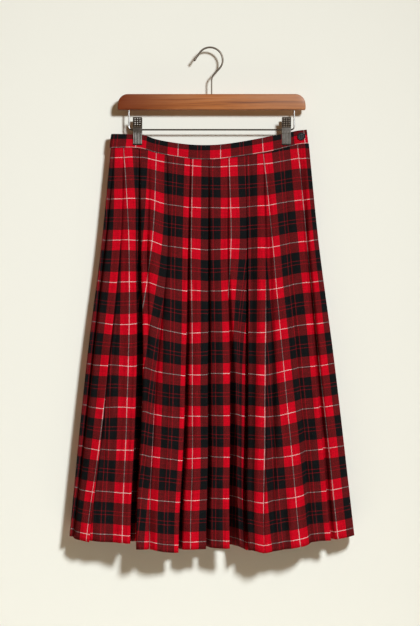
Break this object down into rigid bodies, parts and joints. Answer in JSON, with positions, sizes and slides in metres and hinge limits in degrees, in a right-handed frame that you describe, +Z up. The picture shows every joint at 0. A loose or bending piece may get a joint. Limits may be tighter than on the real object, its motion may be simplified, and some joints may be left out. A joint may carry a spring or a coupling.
{
  "type": "plaid midi skirt on a clip hanger",
  "caption": "Pleated plaid midi skirt with a buttoned waistband, hung flat by its waist from a wooden clip hanger with a wire hook.",
  "frame": {"origin": "the seat of the hanger's hook: the inner top of its loop, where a rail carries it", "axes": "+Z up, the skirt's front towards -Y, +X along the hanger's bar towards the button"},
  "size_m": [0.5391, 0.0729, 0.9558],
  "materials": {
    "wood": "stained and lacquered, horizontal grain",
    "wire_steel": "plated steel wire",
    "clip_steel": "pressed and plated sheet steel",
    "plaid_band": "twill plaid in red and black with fine white lines",
    "plaid_front": "twill plaid in red and black with fine white lines",
    "plaid_back": "twill plaid in red and black with fine white lines",
    "button_resin": "polished dark resin"
  },
  "bodies": {
    "root": {"hanger_bar": "wood", "hanger_hook": "wire_steel", "hanger_frame": "wire_steel", "clip_left_front": "clip_steel", "clip_left_back": "clip_steel", "clip_left_spring": "wire_steel", "clip_right_front": "clip_steel", "clip_right_back": "clip_steel", "clip_right_spring": "wire_steel", "waistband": "plaid_band", "skirt_front": "plaid_front", "skirt_back": "plaid_back", "button": "button_resin"}
  },
  "joints": []
}
